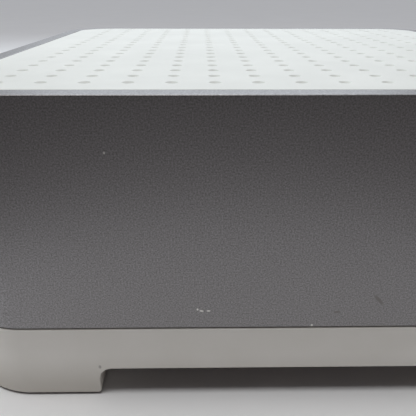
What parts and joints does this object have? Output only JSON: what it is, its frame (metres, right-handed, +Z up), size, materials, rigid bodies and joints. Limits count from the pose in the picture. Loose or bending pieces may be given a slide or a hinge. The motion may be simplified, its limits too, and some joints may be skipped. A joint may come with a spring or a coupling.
{
  "type": "mesh wifi node",
  "caption": "Square mesh wifi node: perforated white lid set in a satin grey sleeve, on a white base with corner feet, with network and power sockets and push buttons at the rear.",
  "frame": {"origin": "middle of the footprint, on the surface that the node stands on", "axes": "+Z up; the plain front in the picture faces -Y; the sockets and buttons face +Y"},
  "size_m": [0.141, 0.141, 0.0638],
  "materials": {
    "white_plastic": "fine moulded satin",
    "grey_metallic_paint": "satin metallic grey paint with a fine sandy grain, on plastic",
    "dark_plastic": "moulded, matt",
    "rubber": "matt",
    "circuit_board": "solder mask",
    "aluminium": "extruded, clear anodised",
    "tinned_steel": "tin plated",
    "gold_plate": "gold plated",
    "thermal_pad": "soft, matt",
    "clear_plastic": "clear, polished",
    "black_cable": "jacketed coaxial lead"
  },
  "bodies": {
    "housing": {"top_lid": "white_plastic", "base_tray": "white_plastic", "side_sleeve": "grey_metallic_paint", "port_panel": "dark_plastic", "ethernet_housing": "dark_plastic", "power_socket": "dark_plastic", "sync_switch": "dark_plastic", "reset_switch": "dark_plastic", "network_transformer": "dark_plastic", "power_inductor": "dark_plastic", "processor_chip": "dark_plastic", "radio_left_chip": "dark_plastic", "radio_right_chip": "dark_plastic", "foot_pad_front_left": "rubber", "foot_pad_front_right": "rubber", "foot_pad_rear_left": "rubber", "foot_pad_rear_right": "rubber", "main_board": "circuit_board", "antenna_left_front": "circuit_board", "antenna_left_rear": "circuit_board", "antenna_right_front": "circuit_board", "antenna_right_rear": "circuit_board", "heatsink": "aluminium", "power_capacitor": "aluminium", "case_screw_front_left": "tinned_steel", "case_screw_front_right": "tinned_steel", "case_screw_rear_left": "tinned_steel", "case_screw_rear_right": "tinned_steel", "board_screw_front_left": "tinned_steel", "board_screw_front_right": "tinned_steel", "board_screw_rear_left": "tinned_steel", "board_screw_rear_right": "tinned_steel", "heatsink_screw_front_left": "tinned_steel", "heatsink_screw_front_right": "tinned_steel", "heatsink_screw_rear_left": "tinned_steel", "heatsink_screw_rear_right": "tinned_steel", "processor_shield": "tinned_steel", "radio_left_shield": "tinned_steel", "radio_right_shield": "tinned_steel", "ethernet_shield": "tinned_steel", "power_pin": "tinned_steel", "ethernet_contacts_1": "gold_plate", "ethernet_contacts_2": "gold_plate", "antenna_plug_left_front": "gold_plate", "antenna_plug_left_rear": "gold_plate", "antenna_plug_right_front": "gold_plate", "antenna_plug_right_rear": "gold_plate", "processor_thermal_pad": "thermal_pad", "radio_left_thermal_pad": "thermal_pad", "radio_right_thermal_pad": "thermal_pad", "status_light_pipe": "clear_plastic", "status_led": "clear_plastic", "antenna_lead_left_front": "black_cable", "antenna_lead_left_rear": "black_cable", "antenna_lead_right_front": "black_cable", "antenna_lead_right_rear": "black_cable"},
    "sync_button": {"sync_button": "white_plastic", "sync_plunger": "dark_plastic"},
    "reset_button": {"reset_button": "dark_plastic", "reset_plunger": "dark_plastic"}
  },
  "joints": [
    {"name": "sync_press", "type": "slide", "parent": "housing", "child": "sync_button", "axis": [0, -1, 0], "range_m": [0, 0.0006], "stiffness_N_per_m": 2500},
    {"name": "reset_press", "type": "slide", "parent": "housing", "child": "reset_button", "axis": [0, -1, 0], "range_m": [0, 0.0006], "stiffness_N_per_m": 2500}
  ]
}
